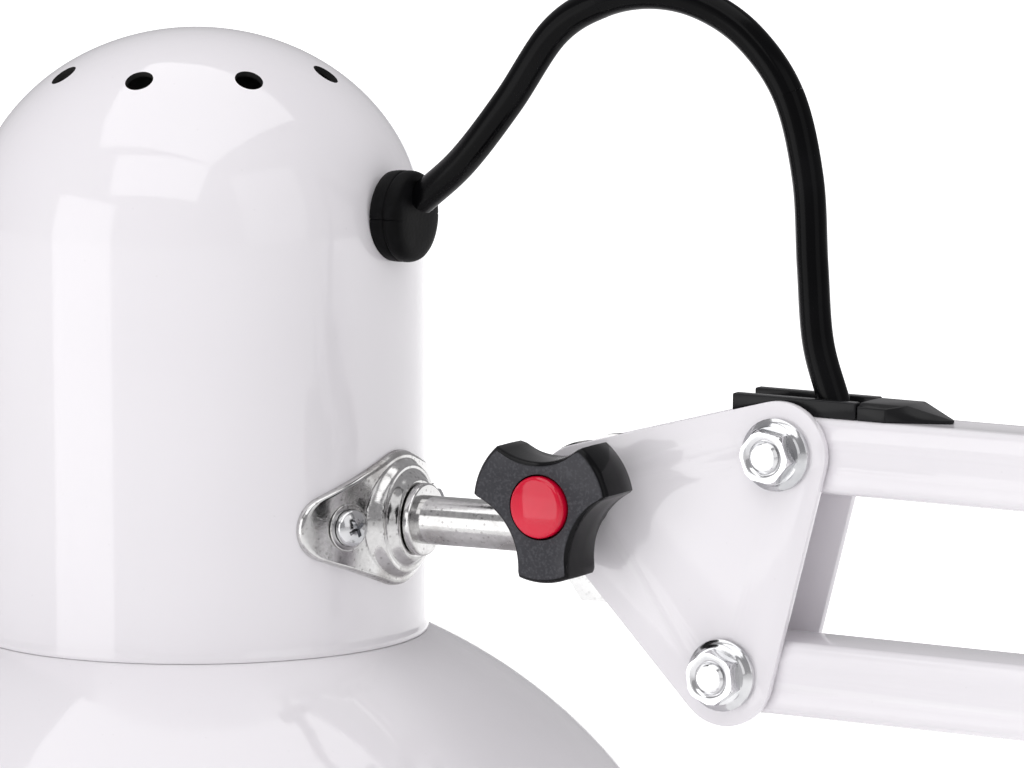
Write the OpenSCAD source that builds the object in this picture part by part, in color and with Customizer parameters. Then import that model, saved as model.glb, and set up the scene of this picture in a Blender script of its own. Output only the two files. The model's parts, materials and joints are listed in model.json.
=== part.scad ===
// Swing arm desk lamp: round weighted base, two parallelogram arms of square tube, bell shade.
// Frame: origin at the centre of the base underside, +Z up. The arms swing in the XZ plane,
// and the shade hangs over the -X side.

/* [Base] */
// Diameter of the round base
base_d = 190; // [160:5:240]
// Height of the base at its rim
base_h = 18; // [14:1:26]
// Height of the lower pivots above the table
pivot_z = 72; // [66:1:90]
// Diameter of the swivel spigot
spigot_d = 12; // [10:1:14]

/* [Arms] */
// Width across the square tube
tube_w = 12; // [10:1:14]
// Wall of the square tube
tube_wall = 1; // [0.8:0.1:1.5]
// Length between the pivots of each arm
arm_len = 330; // [260:10:400]
// Lean of the lower arm away from upright, in degrees
lower_lean = 26; // [15:1:35]
// Fall of the upper arm towards the elbow, in degrees
upper_fall = 1; // [0:1:10]
// Distance between the two lower pivots
lower_gap = 36; // [32:1:44]
// Diameter of the pivot bolts
bolt_d = 5; // [4:1:6]

/* [Head] */
// Thickness of the pressed side plates
plate_t = 1.5; // [1:0.1:2.5]
// Radius of the neck of the shade
neck_r = 38; // [34:1:44]
// Radius of the round bell
bell_r = 93.5; // [85:0.5:100]
// Height of the bell from seam to rim
bell_h = 67.4; // [60:0.1:72]
// Wall of the shade
shade_wall = 1; // [0.8:0.1:1.5]
// Diameter of the vent holes in the crown
vent_d = 4.7; // [4:0.1:6]
// Number of vent holes
vent_count = 8; // [6:1:12]

/* [Cord] */
// Diameter of the flexible cord
cord_d = 5.2; // [4.5:0.1:6]

/* [Hidden] */
$fn = 48;
run = 0.06;
base_r = base_d / 2;
half_w = tube_w / 2;
inner_y = half_w + 0.2;
plate_y = inner_y + plate_t / 2;
face_y = inner_y + plate_t;
pin_r = bolt_d / 2;
bore_r = pin_r + run;
tube_end = 6.5;
eye_at = 122;
lower_inset = 29.5;
hub_bolt_z = 53.2;

// Pivots in the arm plane, as [x, z]
lower_front = [-lower_gap / 2, pivot_z];
lower_rear = [lower_gap / 2, pivot_z];
lower_up = arm_len * [sin(lower_lean), cos(lower_lean)];
elbow_front = lower_front + lower_up;
elbow_rear = lower_rear + lower_up;
link = [9.5, 36];
elbow_low = elbow_front + [14, 30];
elbow_top = elbow_low + link;
head_top = elbow_top + arm_len * [-cos(upper_fall), sin(upper_fall)];
head_low = head_top - link;
knob_at = head_top - [35, 9];
neck_x = knob_at[0] - 76.7;
rod_z = knob_at[1] - 7;

// Heights in the head, measured from the knob bolt
seam_h = -28.1;
crown_h = 38.2;
crown_rise = 34.2;
vent_ring = 23.3;

// Cord paths, in the arm plane as [x, 0, z] from the pivot they are named for
head_loop = [[-34, 0, 45.6], [-26, 0, 52.4], [-17.5, 0, 62.5], [-9, 0, 74], [-0.5, 0, 79],
    [8.5, 0, 80.6], [17.5, 0, 79], [26, 0, 74], [33, 0, 65], [36.5, 0, 52],
    [37.4, 0, 38], [38.4, 0, 26], [41.4, 0, 16.4]];
elbow_loop = [[-6.4, 0, 8], [-8.5, 0, 20], [-6, 0, 34], [3, 0, 46], [18, 0, 53],
    [35, 0, 51], [49, 0, 40], [57, 0, 23], [60, 0, 2], [60, 0, -22], [58, 0, -46],
    [54, 0, -68], [47, 0, -87], [36, 0, -100], [21, 0, -105.5], [5.2, 0, -102.4]];
base_loop = [[41.6, 0, 100.6], [56, 0, 92], [66, 0, 79], [68, 0, 64], [60, 0, 50],
    [47, 0, 41.5], [33, 0, 38.5], [18.6, 0, 38]];
lead_near = [[117, 0, 9.6], [130, 0.5, 7.6], [143, 3.5, 4.4], [155, 10, 2.8], [165, 20, 2.7],
    [172, 33, 3.4], [174.5, 46, 6.4], [175, 59, 8.4]];
lead_mid = [[175, 119, 8.4], [174.5, 132, 6.2], [171, 148, 3], [162, 164, 2.7],
    [148, 177, 2.8], [131, 184, 3.2], [113, 186.5, 4], [96, 184.5, 5]];
lead_end = [[104, 180, 13.4], [92, 187, 18], [79, 192, 14.5], [63, 195.5, 8], [50, 200, 4],
    [36, 203.6, 4.4], [19, 204, 7.6]];

// Places on the table
switch_pos = [175, 89, 0];
coil_pos = [95, 152, 0];
coil_mid_r = 29;
plug_pos = [19, 204, 0];

// ---- placing helpers ----

// Puts a frame on a point of the arm plane
module at(p, y = 0) {
    translate([p[0], y, p[1]]) children();
}

// Turns a drawing of the arm plane into a sheet of thickness t about depth y
module sheet(y, t) {
    translate([0, y + t / 2, 0]) rotate([90, 0, 0]) linear_extrude(t) children();
}

// A round bar along Y from depth y1 to depth y2
module bar_y(r, y1, y2) {
    translate([0, y2, 0]) rotate([90, 0, 0]) cylinder(r = r, h = y2 - y1);
}

// A round bar along X from x1 to x2
module bar_x(r, x1, x2, r2 = -1) {
    translate([x1, 0, 0]) rotate([0, 90, 0])
        cylinder(r1 = r, r2 = r2 < 0 ? r : r2, h = x2 - x1);
}

module upper_frame(p) {
    at(p) rotate([0, upper_fall, 0]) children();
}

module lower_frame(p) {
    at(p) rotate([0, lower_lean - 90, 0]) children();
}

module head_frame() {
    translate([neck_x, 0, knob_at[1]]) children();
}

// ---- swept cord ----

function unit(v) = v / norm(v);
function curve(a, b, c, d, t) = 0.5 * (2 * b + (c - a) * t
    + (2 * a - 5 * b + 4 * c - d) * t * t + (3 * b - a - 3 * c + d) * t * t * t);
function along(p, i) = unit(p[min(i + 1, len(p) - 1)] - p[max(i - 1, 0)]);
function ring(p, i, up) = let (t = along(p, i), s = unit(cross(up, t)), n = cross(t, s))
    [for (k = [0:7]) p[i] + cord_d / 2 * (cos(45 * k) * s + sin(45 * k) * n)];

// A cord through the points first..last of a path; up is a direction it never runs along
module cord(path, first, last, up) {
    rings = last - first + 1;
    points = [for (i = [first:last]) for (v = ring(path, i, up)) v];
    sides = [for (i = [0:rings - 2]) for (k = [0:7]) for (half = [0, 1])
        let (a = 8 * i + k, b = 8 * i + (k + 1) % 8)
        half == 0 ? [a, a + 8, b] : [b, a + 8, b + 8]];
    ends = [[for (k = [0:7]) k], [for (k = [7:-1:0]) 8 * (rings - 1) + k]];
    polyhedron(points = points, faces = concat(sides, ends), convexity = 6);
}

// ---- repeated pieces ----

// Outline of a pressed side plate round a set of pivots
module plate_outline(pivots, r) {
    hull() for (p = pivots) translate(p) circle(r);
}

module side_plate(side, pivots, holes, r) {
    difference() {
        sheet(side * plate_y, plate_t) plate_outline(pivots, r);
        for (p = holes) at(p) bar_y(bore_r, -20, 20);
    }
}

// Pivot bolt: domed head behind the rear plate, shank end just past the nut in front
module pivot_bolt(reach) {
    bar_y(pin_r, -face_y - reach, face_y + 1);
    difference() {
        translate([0, face_y - 3.4, 0]) sphere(r = 7);
        bar_y(8, -20, face_y);
    }
}

// Hexagon nut with a round flange
module flange_nut() {
    translate([0, -face_y, 0]) rotate([90, 0, 0]) difference() {
        union() {
            cylinder(r = 5.8, h = 1.2);
            translate([0, 0, 1.2]) cylinder(r1 = 5.2, r2 = 4.5, h = 0.8);
            translate([0, 0, 1]) cylinder(r = 4.5, h = 4, $fn = 6);
        }
        translate([0, 0, -1]) cylinder(r = pin_r, h = 8);
    }
}

// Three lobed clamping knob on a short round hub
module knob() {
    difference() {
        union() {
            bar_y(5.5, -face_y - 4.6, -face_y - 0.3);
            sheet(-face_y - 9.4, 10) difference() {
                circle(12.3);
                for (a = [90, 210, 330]) rotate(a) translate([20.06, 0]) circle(13.26);
            }
        }
        bar_y(bore_r, -24, 0);
        bar_y(5.4, -face_y - 15, -face_y - 12.4);
    }
}

module knob_cap() {
    translate([0, -face_y - 12.4, 0]) rotate([90, 0, 0]) rotate_extrude()
        polygon([[0, 0.4], [5.3, 0.4], [5.3, 2.2], [4.6, 3], [3.2, 3.6], [1.6, 3.9], [0, 4]]);
}

// Square tube with its pivot holes; the frame sits on its first pivot
module arm_tube() {
    difference() {
        translate([-tube_end, 0, 0]) rotate([90, 0, 90]) linear_extrude(arm_len + 2 * tube_end)
            difference() {
                offset(r = 1.2, $fn = 24) square(tube_w - 2.4, center = true);
                square(tube_w - 2 * tube_wall, center = true);
            }
        for (x = [0, arm_len]) translate([x, 0, 0]) bar_y(bore_r, -20, 20);
    }
}

// Slots through the outer wall of a tube where the cord goes in, set in from its pivots
module cord_slots(inset) {
    for (x = [6.5 + inset, arm_len - 6.5 - inset])
        translate([x, 0, half_w]) cube([8.4, 6.2, 4], center = true);
}

// Ear welded to a tube that a spring hooks into
module spring_eye() {
    difference() {
        sheet(0, 2) hull() {
            translate([eye_at, half_w + 7]) circle(3.4);
            translate([eye_at - 7, half_w - 0.1]) square([14, 0.4]);
        }
        translate([eye_at, 0, half_w + 7]) bar_y(1.6, -5, 5);
    }
}

// Two rails with the cord standing between them, closed by a tapering hood
module cord_guide() {
    for (s = [-1, 1]) translate([-9.5, s * 4 - 1, half_w]) cube([21.7, 2, 2.8]);
    translate([-9.5, -5, half_w]) cube([4, 10, 1.4]);
    hull() {
        translate([12.4, -5, half_w]) cube([5, 10, 2.2]);
        translate([12.4, -3.4, half_w]) cube([8, 6.8, 2.8]);
        translate([26.6, -0.4, half_w]) cube([0.4, 0.8, 0.6]);
    }
}

module guide_pair(inset) {
    translate([inset, 0, 0]) cord_guide();
    translate([arm_len - inset, 0, 0]) mirror([1, 0, 0]) cord_guide();
}

// Tension spring between two points of the arm plane, with a loop at each end
module spring(from, to) {
    span = to - from;
    length = norm(span);
    at(from) rotate([0, -atan2(span[1], span[0]), 0]) {
        rotate([90, 0, 0]) rotate_extrude() translate([2.9, 0]) circle(0.6, $fn = 16);
        bar_x(0.6, 3.2, 12);
        bar_x(4.5, 11.5, length - 11.5);
        bar_x(0.6, length - 12, length - 4.6);
        translate([length - 2.4, 0, 0]) rotate_extrude() translate([2.4, 0])
            circle(0.6, $fn = 16);
    }
}

// ---- base ----

module base_pad() {
    color("#222222") cylinder(r = base_r - 3, h = 3);
}

module base_weight() {
    color("#5a5a5c") difference() {
        translate([0, 0, 3]) cylinder(r = base_r - 2, h = base_h - 7);
        translate([0, 0, 2]) cylinder(r = 11.2, h = base_h);
    }
}

module base_cover() {
    rim = [for (a = [0:15:90]) [base_r - 7 + 7 * cos(a), base_h - 7 + 7 * sin(a)]];
    inside = [for (a = [90:-15:0]) [base_r - 7 + 5.8 * cos(a), base_h - 7 + 5.8 * sin(a)]];
    color("#f2f2f4") rotate_extrude($fn = 96) polygon(concat([[base_r, 1]], rim,
        [[30, base_h + 1.6], [11.2, base_h + 2]], [[11.2, base_h + 0.8], [30, base_h + 0.4]],
        inside, [[base_r - 1.2, 1]]));
}

module base_socket() {
    color("#c9c9cc") rotate_extrude() polygon([[spigot_d / 2 + run, 4], [11, 4],
        [11, base_h + 2.1], [17, base_h + 2.1], [17, base_h + 3.6], [15.5, base_h + 5],
        [11, base_h + 6], [11, 31], [10, 32], [spigot_d / 2 + run, 32]]);
}

module mains_gland() {
    color("#1b1b1c") translate([base_r - 1.8, 0, 10]) rotate([0, 90, 0])
        rotate_extrude() polygon([[0, 0], [6, 0], [6, 4.4], [5, 5.4], [3.4, 23.8], [0, 23.8]]);
}

module mains_lead_near() {
    color("#141415") cord(lead_near, 0, len(lead_near) - 1, [0, 0, 1]);
}

module mains_lead_mid() {
    color("#141415") cord(lead_mid, 0, len(lead_mid) - 1, [0, 0, 1]);
}

module mains_lead_end() {
    color("#141415") cord(lead_end, 0, len(lead_end) - 1, [0, 0, 1]);
}

module mains_coil() {
    color("#141415") translate(coil_pos) rotate_extrude($fn = 64)
        translate([coil_mid_r, 8]) polygon([for (a = [0:30:330]) [8.6 * cos(a), 8 * sin(a)]]);
}

module coil_tie() {
    color("#262628") translate(coil_pos) rotate(-60) translate([coil_mid_r, -5, 8.4])
        rotate([-90, 0, 0]) linear_extrude(10) difference() {
            square([19, 16.8], center = true);
            square([17.6, 15.4], center = true);
        }
}

module plug_body() {
    color("#161617") translate(plug_pos) hull() {
        translate([0, 0, 8]) rotate([0, -90, 0]) cylinder(r = 4.4, h = 1);
        for (y = [-9, 9]) translate([-16, y, 3.5]) rotate([0, -90, 0]) cylinder(r = 3.5, h = 18);
        for (y = [-9, 9]) translate([-16, y, 12]) rotate([0, -90, 0]) cylinder(r = 3.5, h = 18);
    }
}

module plug_pins() {
    color("#c8b070") for (y = [-9.5, 9.5])
        translate(plug_pos + [-34, y, 7.8]) rotate([0, -90, 0]) cylinder(r = 2, h = 19);
}

module switch_case() {
    color("#161617") translate(switch_pos) difference() {
        hull() for (x = [-8, 8]) for (y = [-26, 26]) {
            translate([x, y, 0]) cylinder(r = 4, h = 12, $fn = 24);
            translate([x, y, 12]) sphere(r = 4, $fn = 24);
        }
        translate([0, 0, 14]) cube([10, 20.8, 9], center = true);
    }
}

module switch_rocker() {
    color("#e8e8e6") translate(switch_pos + [0, 0, 14.5]) rotate([7, 0, 0]) {
        bar_x(1.2, -4.85, 4.85);
        rotate([90, 0, 90]) linear_extrude(9.2, center = true)
            polygon([[-9.2, -1], [-9.2, 3.6], [0, 2.2], [9.2, 3.6], [9.2, -1], [0, -3.4]]);
    }
}

// ---- swivel bracket ----

module swivel_hub() {
    color("#f2f2f4") difference() {
        union() {
            translate([0, 0, 6]) cylinder(r = spigot_d / 2, h = 30);
            translate([0, 0, 32.3]) cylinder(r1 = 15, r2 = 16, h = 1);
            translate([0, 0, 33.3]) cylinder(r = 16, h = 10.7);
            translate([-11, -inner_y, 43]) cube([22, 2 * inner_y, 18]);
        }
        at([0, hub_bolt_z]) bar_y(bore_r, -20, 20);
        translate([0, 0, 38]) bar_x(4, 8, 20);
    }
}

module hub_grommet() {
    color("#1b1b1c") difference() {
        translate([0, 0, 38]) union() {
            bar_x(3.9, 8, 16);
            bar_x(5, 15.4, 18.4);
        }
        difference() {
            translate([0, 0, 30]) cylinder(r = 16.02, h = 16);
            translate([0, 0, 38]) bar_x(3.95, 5, 20);
        }
    }
}

bracket_pivots = [lower_front, lower_rear, [0, hub_bolt_z]];

module bracket_plate_front() {
    color("#f2f2f4") side_plate(-1, bracket_pivots, concat(bracket_pivots, [[0, pivot_z]]), 9);
}

module bracket_plate_back() {
    color("#f2f2f4") side_plate(1, bracket_pivots, concat(bracket_pivots, [[0, pivot_z]]), 9);
}

module bracket_bolts() {
    color("#c9c9cc") {
        for (p = bracket_pivots) at(p) pivot_bolt(5.2);
        at([0, pivot_z]) bar_y(2, -face_y - 0.8, face_y + 0.8);
    }
}

module bracket_nuts() {
    color("#c9c9cc") for (p = bracket_pivots) at(p) flange_nut();
}

// ---- lower arm ----

module lower_rear_tube() {
    color("#f2f2f4") lower_frame(lower_rear) {
        difference() {
            arm_tube();
            mirror([0, 0, 1]) cord_slots(lower_inset);
        }
        spring_eye();
    }
}

module lower_rear_guides() {
    color("#1b1b1c") lower_frame(lower_rear) mirror([0, 0, 1]) guide_pair(lower_inset);
}

module lower_front_tube() {
    color("#f2f2f4") lower_frame(lower_front) arm_tube();
}

lower_hook = lower_rear + eye_at * [sin(lower_lean), cos(lower_lean)]
    + (half_w + 7) * [-cos(lower_lean), sin(lower_lean)];

module lower_spring() {
    color("#b9b9bd") spring([0, pivot_z], lower_hook);
}

module base_loop_cord() {
    color("#141415") cord(base_loop, 0, len(base_loop) - 1, [0, 1, 0]);
}

// ---- elbow ----

elbow_pivots = [elbow_rear, elbow_low, elbow_top];
elbow_all = concat([elbow_front], elbow_pivots);
upper_hook_pin = elbow_low + [4, 23];

module elbow_plate_front() {
    color("#f2f2f4") side_plate(-1, elbow_all, concat(elbow_all, [upper_hook_pin]), 9);
}

module elbow_plate_back() {
    color("#f2f2f4") side_plate(1, elbow_all, concat(elbow_all, [upper_hook_pin]), 9);
}

module elbow_bolts() {
    color("#c9c9cc") {
        for (p = elbow_pivots) at(p) pivot_bolt(5.2);
        at(elbow_front) pivot_bolt(11);
        at(upper_hook_pin) bar_y(2, -face_y - 0.8, face_y + 0.8);
    }
}

module elbow_nuts() {
    color("#c9c9cc") for (p = elbow_pivots) at(p) flange_nut();
}

module elbow_knob() {
    color("#2a2a2c") at(elbow_front) knob();
}

module elbow_knob_cap() {
    color("#c01030") at(elbow_front) knob_cap();
}

elbow_path = [for (v = elbow_loop) v + [elbow_top[0], 0, elbow_top[1]]];

module elbow_cord_upper() {
    color("#141415") cord(elbow_path, 0, 7, [0, 1, 0]);
}

module elbow_cord_lower() {
    color("#141415") cord(elbow_path, 7, len(elbow_path) - 1, [0, 1, 0]);
}

// ---- upper arm ----

module upper_top_tube() {
    color("#f2f2f4") upper_frame(head_top) difference() {
        arm_tube();
        cord_slots(0);
    }
}

module upper_guides() {
    color("#1b1b1c") upper_frame(head_top) guide_pair(0);
}

module upper_bottom_tube() {
    color("#f2f2f4") upper_frame(head_low) {
        arm_tube();
        translate([arm_len, 0, 0]) mirror([1, 0, 0]) spring_eye();
    }
}

upper_hook = elbow_low + eye_at * [-cos(upper_fall), sin(upper_fall)]
    + (half_w + 7) * [sin(upper_fall), cos(upper_fall)];

module upper_spring() {
    color("#b9b9bd") spring(upper_hook_pin, upper_hook);
}

// ---- head plates and knob ----

head_pivots = [knob_at, head_top, head_low];

module head_plate_front() {
    color("#f2f2f4") side_plate(-1, head_pivots, head_pivots, 8.4);
}

module head_plate_back() {
    color("#f2f2f4") side_plate(1, head_pivots, head_pivots, 8.4);
}

module head_bolts() {
    color("#c9c9cc") {
        for (p = [head_top, head_low]) at(p) pivot_bolt(5.2);
        at(knob_at) pivot_bolt(11);
    }
}

module head_nuts() {
    color("#c9c9cc") for (p = [head_top, head_low]) at(p) flange_nut();
}

module head_knob() {
    color("#2a2a2c") at(knob_at) knob();
}

module head_knob_cap() {
    color("#c01030") at(knob_at) knob_cap();
}

// U shaped yoke that turns on the knob bolt
module head_yoke() {
    color("#c9c9cc") at(knob_at) difference() {
        union() {
            for (s = [-1, 1]) sheet(s * (half_w - 1), 2) {
                circle(8.7);
                translate([-12, -11.4]) square([14, 12]);
                polygon([[-5, -11.4], [-3.4, -13.9], [-1, -17.2], [6.4, -17.2], [7.4, -15],
                    [7.4, -4], [-5, -4]]);
            }
            translate([-12, -half_w, -11.4]) cube([2.4, tube_w, 12]);
        }
        bar_y(bore_r, -20, 20);
        translate([0, 0, -7]) bar_x(4.02, -15, -8);
    }
}

module head_rod() {
    color("#c9c9cc") translate([0, 0, rod_z]) {
        bar_x(4, neck_x + 34, knob_at[0] - 9.7);
        bar_x(6.4, neck_x + 32, neck_x + 34.5);
    }
}

head_path = [for (v = head_loop) v + [knob_at[0], 0, knob_at[1]]];

module head_cord_shade() {
    color("#141415") cord(head_path, 0, 4, [0, 1, 0]);
}

module head_cord_mid() {
    color("#141415") cord(head_path, 4, 8, [0, 1, 0]);
}

module head_cord_arm() {
    color("#141415") cord(head_path, 8, len(head_path) - 1, [0, 1, 0]);
}

// ---- shade ----

module shade_neck() {
    outer = [for (a = [0:6:90]) [neck_r * cos(a), crown_h + crown_rise * sin(a)]];
    inner = [for (a = [90:-6:0]) [(neck_r - shade_wall) * cos(a),
        crown_h + (crown_rise - shade_wall) * sin(a)]];
    tilt = atan(crown_rise / neck_r * vent_ring / sqrt(neck_r * neck_r - vent_ring * vent_ring));
    vent_h = crown_h + crown_rise * sqrt(1 - pow(vent_ring / neck_r, 2));
    color("#f2f2f4") head_frame() difference() {
        rotate_extrude($fn = 96) polygon(concat([[neck_r + 0.5, seam_h],
            [neck_r + 0.5, seam_h + 1.2], [neck_r, seam_h + 2]], outer, inner,
            [[neck_r - shade_wall, seam_h]]));
        for (k = [0:vent_count - 1]) rotate([0, 0, 8.5 + 360 * k / vent_count])
            translate([vent_ring, 0, vent_h]) rotate([0, tilt, 0])
                cylinder(r = vent_d / 2, h = 12, center = true);
        translate([0, 0, -7]) bar_x(4.3, 20, 45);
        translate([0, 0, 42.8]) bar_x(6, 20, 45);
        for (s = [-1, 1]) translate([0, 0, -7]) rotate([0, 0, s * 20.5]) bar_x(1.6, 30, 45);
    }
}

module shade_bell() {
    drop = sqrt(bell_r * bell_r - neck_r * neck_r);
    start = asin(neck_r / bell_r);
    stop = acos((drop - bell_h) / bell_r);
    steps = 16;
    in_r = bell_r - shade_wall;
    outer = [for (i = [0:steps]) let (a = start + (stop - start) * i / steps)
        [bell_r * sin(a), bell_r * cos(a) - drop]];
    inner = [for (i = [steps:-1:1]) let (a = start + (stop - start) * i / steps)
        [in_r * sin(a), in_r * cos(a) - drop]];
    rim = outer[steps];
    color("#f2f2f4") head_frame() translate([0, 0, seam_h]) {
        rotate_extrude($fn = 96) polygon(concat([[neck_r - 1.1, 6], [neck_r - 1.1, 0]], outer,
            [rim + [0.9, -0.4], rim + [0.9, -1.8], rim + [-1, -1.8]], inner,
            [[neck_r - 2.1, -0.9], [neck_r - 2.1, 6]]));
    }
}

// Stamped plate wrapped round the neck, with a raised round boss for the rod
module flange_plate() {
    color("#c9c9cc") head_frame() difference() {
        union() {
            intersection() {
                translate([0, 0, -20]) difference() {
                    cylinder(r = neck_r + 1.3, h = 30);
                    translate([0, 0, -1]) cylinder(r = neck_r + 0.02, h = 32);
                }
                translate([20, 0, -7]) rotate([90, 0, 90]) linear_extrude(30) hull() {
                    circle(11.2);
                    for (s = [-1, 1]) translate([s * 18.4, 0]) circle(4.2);
                }
            }
            translate([0, 0, -7]) bar_x(9.4, neck_r + 0.4, neck_r + 2.6, 8.6);
            translate([0, 0, -7]) bar_x(8.6, neck_r + 2.6, neck_r + 4.2, 6.4);
        }
        translate([0, 0, -7]) bar_x(4 + run, 20, 60);
        for (s = [-1, 1]) translate([0, 0, -7]) rotate([0, 0, s * 20.5]) bar_x(1.6, 30, 45);
    }
}

module rod_collar() {
    color("#c9c9cc") translate([neck_x, 0, rod_z]) difference() {
        bar_x(6, neck_r + 4.4, neck_r + 5.8);
        bar_x(4, 20, 60);
    }
}

module flange_screws() {
    color("#c9c9cc") head_frame() for (s = [-1, 1])
        translate([0, 0, -7]) rotate([0, 0, s * 20.5]) {
            bar_x(1.5, neck_r - 4, neck_r + 1.4);
            translate([neck_r + 1.35, 0, 0]) rotate([0, 90, 0]) rotate_extrude()
                polygon([[0, 0], [3, 0], [3, 0.9], [2.6, 1.6], [1.8, 2.1], [0, 2.3]]);
        }
}

module shade_grommet() {
    color("#1b1b1c") head_frame() translate([0, 0, 42.8]) {
        difference() {
            bar_x(7.5, 36, neck_r + 4.6);
            translate([0, 0, -20]) cylinder(r = neck_r + 0.02, h = 40);
        }
        bar_x(5.9, 33, neck_r + 1);
    }
}

module holder_bracket() {
    r_in = neck_r - shade_wall - 0.02;
    color("#b9b9bd") head_frame() {
        translate([0, 0, 36.8]) intersection() {
            cylinder(r = r_in - 0.5, h = 1.4);
            translate([-8, -50, -1]) cube([16, 100, 4]);
        }
        intersection() {
            translate([0, 0, 24]) difference() {
                cylinder(r = r_in, h = 14.2);
                translate([0, 0, -1]) cylinder(r = r_in - 1.3, h = 17);
            }
            translate([-8, -50, 20]) cube([16, 100, 20]);
        }
    }
}

module lamp_holder() {
    color("#1b1b1c") head_frame() rotate_extrude() polygon([[0, 36.8], [8, 36.8], [8, 34.4],
        [14, 33], [18, 29], [18, 8], [19.5, 6], [19.5, -11], [15.2, -11], [15.2, 26], [0, 26]]);
}

module holder_shell() {
    color("#c8a850") head_frame() difference() {
        translate([0, 0, -6]) cylinder(r = 15, h = 31.6);
        translate([0, 0, -7]) cylinder(r = 14.3, h = 31.4);
    }
}

module bulb_cap() {
    color("#b9b9bd") head_frame() rotate_extrude() polygon([[0, 18], [4, 18], [4.4, 16],
        [10, 13.5], [13, 12], [13, -9], [12, -10.4], [0, -10.4]]);
}

module bulb_glass() {
    outer = concat([for (a = [-90:10:40]) [30 * cos(a), -60 + 30 * sin(a)]],
        [[20.6, -35], [17, -28], [14.6, -20], [13.4, -13], [12.4, -10.5]]);
    inner = concat([[11.4, -10.5], [12.2, -13.2], [13.4, -20.4], [15.8, -28.6], [19.5, -35.8]],
        [for (a = [40:-10:-90]) [28.8 * cos(a), -60 + 28.8 * sin(a)]]);
    color("#f6f2e6") head_frame() rotate_extrude() polygon(concat(outer, inner));
}

base_pad();
base_weight();
base_cover();
base_socket();
mains_gland();
mains_lead_near();
mains_lead_mid();
mains_lead_end();
mains_coil();
coil_tie();
plug_body();
plug_pins();
switch_case();
switch_rocker();
swivel_hub();
hub_grommet();
bracket_plate_front();
bracket_plate_back();
bracket_bolts();
bracket_nuts();
lower_rear_tube();
lower_rear_guides();
lower_front_tube();
lower_spring();
base_loop_cord();
elbow_plate_front();
elbow_plate_back();
elbow_bolts();
elbow_nuts();
elbow_knob();
elbow_knob_cap();
elbow_cord_upper();
elbow_cord_lower();
upper_top_tube();
upper_guides();
upper_bottom_tube();
upper_spring();
head_plate_front();
head_plate_back();
head_bolts();
head_nuts();
head_knob();
head_knob_cap();
head_yoke();
head_rod();
head_cord_arm();
head_cord_mid();
head_cord_shade();
shade_neck();
shade_bell();
flange_plate();
rod_collar();
flange_screws();
shade_grommet();
holder_bracket();
lamp_holder();
holder_shell();
bulb_cap();
bulb_glass();
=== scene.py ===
# %% [markdown]
# # Swing arm desk lamp
# The CAD model gives every size and place. This script loads it as a frame, then builds the
# visible pieces on it: cords, enamelled shade, arms, clamps, springs and the base. Loading first
# means that each piece can be checked against the part it stands for.

# %% Load the frame
import json
import math
import bmesh
import bpy
import numpy as np
from mathutils import Matrix, Vector

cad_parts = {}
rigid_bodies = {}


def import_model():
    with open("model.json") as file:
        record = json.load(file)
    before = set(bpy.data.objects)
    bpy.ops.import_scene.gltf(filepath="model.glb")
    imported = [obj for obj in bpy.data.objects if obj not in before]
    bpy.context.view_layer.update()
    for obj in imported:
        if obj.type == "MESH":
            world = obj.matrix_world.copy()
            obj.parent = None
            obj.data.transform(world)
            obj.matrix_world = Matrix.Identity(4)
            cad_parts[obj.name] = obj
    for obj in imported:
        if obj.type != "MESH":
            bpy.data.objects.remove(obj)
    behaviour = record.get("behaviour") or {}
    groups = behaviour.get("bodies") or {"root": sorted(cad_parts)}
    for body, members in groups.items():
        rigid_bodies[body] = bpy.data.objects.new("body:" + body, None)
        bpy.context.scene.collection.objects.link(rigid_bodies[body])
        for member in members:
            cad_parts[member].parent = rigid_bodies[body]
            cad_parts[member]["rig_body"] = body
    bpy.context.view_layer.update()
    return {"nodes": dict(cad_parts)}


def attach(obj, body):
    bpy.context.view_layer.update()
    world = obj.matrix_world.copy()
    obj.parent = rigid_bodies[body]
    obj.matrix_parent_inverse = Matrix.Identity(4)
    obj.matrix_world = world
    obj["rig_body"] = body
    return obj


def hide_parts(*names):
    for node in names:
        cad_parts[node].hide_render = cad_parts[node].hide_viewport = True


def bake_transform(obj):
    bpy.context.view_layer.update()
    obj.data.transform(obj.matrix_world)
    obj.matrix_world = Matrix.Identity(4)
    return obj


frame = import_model()

# %% [markdown]
# ## Sizes
# A maker works in millimetres and Blender in metres, so one number turns the first into the
# second. The pivots are worked out from the arm lengths and angles, as on a drawing, rather than
# typed in: then a changed length moves everything that hangs on it.

# %% Sizes and pivots
mm = 0.001
arm, lean, fall = 330.0, math.radians(26), math.radians(1)
lower_front, lower_rear = np.array([-18.0, 72.0]), np.array([18.0, 72.0])
lower_up = arm * np.array([math.sin(lean), math.cos(lean)])
elbow_front, elbow_rear = lower_front + lower_up, lower_rear + lower_up
elbow_low = elbow_front + [14, 30]
elbow_top = elbow_low + [9.5, 36]
head_top = elbow_top + arm * np.array([-math.cos(fall), math.sin(fall)])
head_low = head_top - [9.5, 36]
knob_at = head_top - [35, 9]
neck_x = knob_at[0] - 76.7
rod_height, grommet_height, screw_angle = -7.0, 42.8, math.radians(20.5)
face_y, neck_r, bell_r = 7.7, 38.0, 93.5
print("knob bolt at", knob_at.round(2), "shade axis at", round(neck_x, 2))

# %% [markdown]
# ## Local frames
# A tube, a knob or a screw is easiest to draw lying along its own axes and then put in place.
# These four functions do the placing: along an arm, facing the front, on the shade's axis, and
# pointing out of the shade's side.

# %% Local frames
def arm_frame(pivot, turn):
    return Matrix.Translation((pivot[0], 0, pivot[1])) @ Matrix.Rotation(turn, 4, "Y")

def facing_front(pivot, depth=0.0):
    return Matrix.Translation((pivot[0], depth, pivot[1])) @ Matrix.Rotation(math.pi / 2, 4, "X")

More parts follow.
